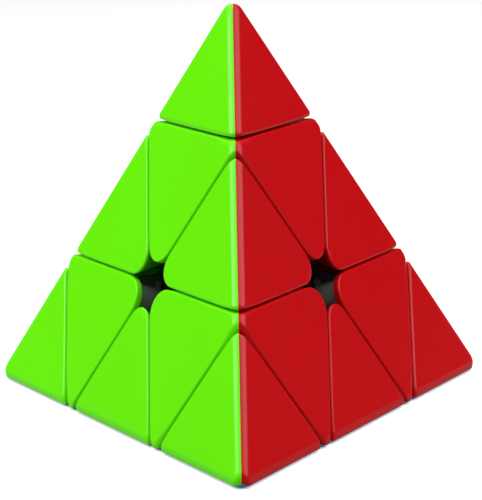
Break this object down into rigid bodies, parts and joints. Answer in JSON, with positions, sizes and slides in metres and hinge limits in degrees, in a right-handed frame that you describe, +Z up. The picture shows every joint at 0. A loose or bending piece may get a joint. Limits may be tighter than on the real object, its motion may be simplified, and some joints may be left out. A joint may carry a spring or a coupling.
{
  "type": "pyramid twisty puzzle",
  "caption": "Four-sided twisting puzzle with turning corner layers, free corner tips and trapped edge pieces around a hidden sprung core.",
  "frame": {"origin": "centre of the base face, on the surface the puzzle stands on", "axes": "+Z up through the top corner, -Y towards the front corner, -X towards the left corner, +X towards the right corner"},
  "size_m": [0.098, 0.0854, 0.0806],
  "materials": {
    "green_plastic": "coloured ABS, fine satin",
    "red_plastic": "coloured ABS, fine satin",
    "blue_plastic": "coloured ABS, fine satin",
    "yellow_plastic": "coloured ABS, fine satin",
    "dark_plastic": "dark nylon",
    "steel": "zinc plated steel"
  },
  "bodies": {
    "core": {"core_spider": "dark_plastic", "axle_screws": "steel", "axle_springs": "steel", "axle_washers": "steel"},
    "corner_top": {"hub_top": "dark_plastic", "axial_top_yellow": "yellow_plastic", "axial_top_red": "red_plastic", "axial_top_green": "green_plastic"},
    "corner_front": {"hub_front": "dark_plastic", "axial_front_blue": "blue_plastic", "axial_front_red": "red_plastic", "axial_front_green": "green_plastic"},
    "corner_left": {"hub_left": "dark_plastic", "axial_left_blue": "blue_plastic", "axial_left_yellow": "yellow_plastic", "axial_left_green": "green_plastic"},
    "corner_right": {"hub_right": "dark_plastic", "axial_right_blue": "blue_plastic", "axial_right_yellow": "yellow_plastic", "axial_right_red": "red_plastic"},
    "tip_top": {"tip_stem_top": "dark_plastic", "tip_top_yellow": "yellow_plastic", "tip_top_red": "red_plastic", "tip_top_green": "green_plastic"},
    "tip_front": {"tip_stem_front": "dark_plastic", "tip_front_blue": "blue_plastic", "tip_front_red": "red_plastic", "tip_front_green": "green_plastic"},
    "tip_left": {"tip_stem_left": "dark_plastic", "tip_left_blue": "blue_plastic", "tip_left_yellow": "yellow_plastic", "tip_left_green": "green_plastic"},
    "tip_right": {"tip_stem_right": "dark_plastic", "tip_right_blue": "blue_plastic", "tip_right_yellow": "yellow_plastic", "tip_right_red": "red_plastic"},
    "edge_top_front": {"foot_top_front": "dark_plastic", "edge_top_front_red": "red_plastic", "edge_top_front_green": "green_plastic"},
    "edge_top_left": {"foot_top_left": "dark_plastic", "edge_top_left_yellow": "yellow_plastic", "edge_top_left_green": "green_plastic"},
    "edge_top_right": {"foot_top_right": "dark_plastic", "edge_top_right_yellow": "yellow_plastic", "edge_top_right_red": "red_plastic"},
    "edge_front_left": {"foot_front_left": "dark_plastic", "edge_front_left_blue": "blue_plastic", "edge_front_left_green": "green_plastic"},
    "edge_front_right": {"foot_front_right": "dark_plastic", "edge_front_right_blue": "blue_plastic", "edge_front_right_red": "red_plastic"},
    "edge_left_right": {"foot_left_right": "dark_plastic", "edge_left_right_blue": "blue_plastic", "edge_left_right_yellow": "yellow_plastic"}
  },
  "joints": [
    {"name": "layer_top_turn", "type": "hinge", "parent": "core", "child": "corner_top", "pos_m": [0, 0, 0.02095], "axis": [0, 0, 1], "range_deg": [-240, 120]},
    {"name": "layer_front_turn", "type": "hinge", "parent": "core", "child": "corner_front", "pos_m": [0, 0, 0.02095], "axis": [0, -0.9428, -0.3333], "range_deg": [-240, 120]},
    {"name": "layer_left_turn", "type": "hinge", "parent": "core", "child": "corner_left", "pos_m": [0, 0, 0.02095], "axis": [-0.8165, 0.4714, -0.3333], "range_deg": [-240, 120]},
    {"name": "layer_right_turn", "type": "hinge", "parent": "core", "child": "corner_right", "pos_m": [0, 0, 0.02095], "axis": [0.8165, 0.4714, -0.3333], "range_deg": [-240, 120]},
    {"name": "tip_top_turn", "type": "hinge", "parent": "corner_top", "child": "tip_top", "pos_m": [0, 0, 0.02095], "axis": [0, 0, 1], "continuous": true},
    {"name": "tip_front_turn", "type": "hinge", "parent": "corner_front", "child": "tip_front", "pos_m": [0, 0, 0.02095], "axis": [0, -0.9428, -0.3333], "continuous": true},
    {"name": "tip_left_turn", "type": "hinge", "parent": "corner_left", "child": "tip_left", "pos_m": [0, 0, 0.02095], "axis": [-0.8165, 0.4714, -0.3333], "continuous": true},
    {"name": "tip_right_turn", "type": "hinge", "parent": "corner_right", "child": "tip_right", "pos_m": [0, 0, 0.02095], "axis": [0.8165, 0.4714, -0.3333], "continuous": true},
    {"name": "edge_top_front_turn", "type": "hinge", "parent": "corner_top", "child": "edge_top_front", "pos_m": [0, 0, 0.02095], "axis": [0, -0.9428, -0.3333], "range_deg": [-240, 120]},
    {"name": "edge_top_left_turn", "type": "hinge", "parent": "corner_top", "child": "edge_top_left", "pos_m": [0, 0, 0.02095], "axis": [-0.8165, 0.4714, -0.3333], "range_deg": [-240, 120]},
    {"name": "edge_top_right_turn", "type": "hinge", "parent": "corner_top", "child": "edge_top_right", "pos_m": [0, 0, 0.02095], "axis": [0.8165, 0.4714, -0.3333], "range_deg": [-240, 120]},
    {"name": "edge_front_left_turn", "type": "hinge", "parent": "corner_left", "child": "edge_front_left", "pos_m": [0, 0, 0.02095], "axis": [0, -0.9428, -0.3333], "range_deg": [-240, 120]},
    {"name": "edge_front_right_turn", "type": "hinge", "parent": "corner_front", "child": "edge_front_right", "pos_m": [0, 0, 0.02095], "axis": [0.8165, 0.4714, -0.3333], "range_deg": [-240, 120]},
    {"name": "edge_left_right_turn", "type": "hinge", "parent": "corner_right", "child": "edge_left_right", "pos_m": [0, 0, 0.02095], "axis": [-0.8165, 0.4714, -0.3333], "range_deg": [-240, 120]}
  ],
  "couplings": [
    {"joint": "edge_top_front_turn", "follows": "layer_front_turn", "ratio": 1},
    {"joint": "edge_top_left_turn", "follows": "layer_left_turn", "ratio": 1},
    {"joint": "edge_top_right_turn", "follows": "layer_right_turn", "ratio": 1},
    {"joint": "edge_front_left_turn", "follows": "layer_front_turn", "ratio": 1},
    {"joint": "edge_front_right_turn", "follows": "layer_right_turn", "ratio": 1},
    {"joint": "edge_left_right_turn", "follows": "layer_left_turn", "ratio": 1}
  ]
}
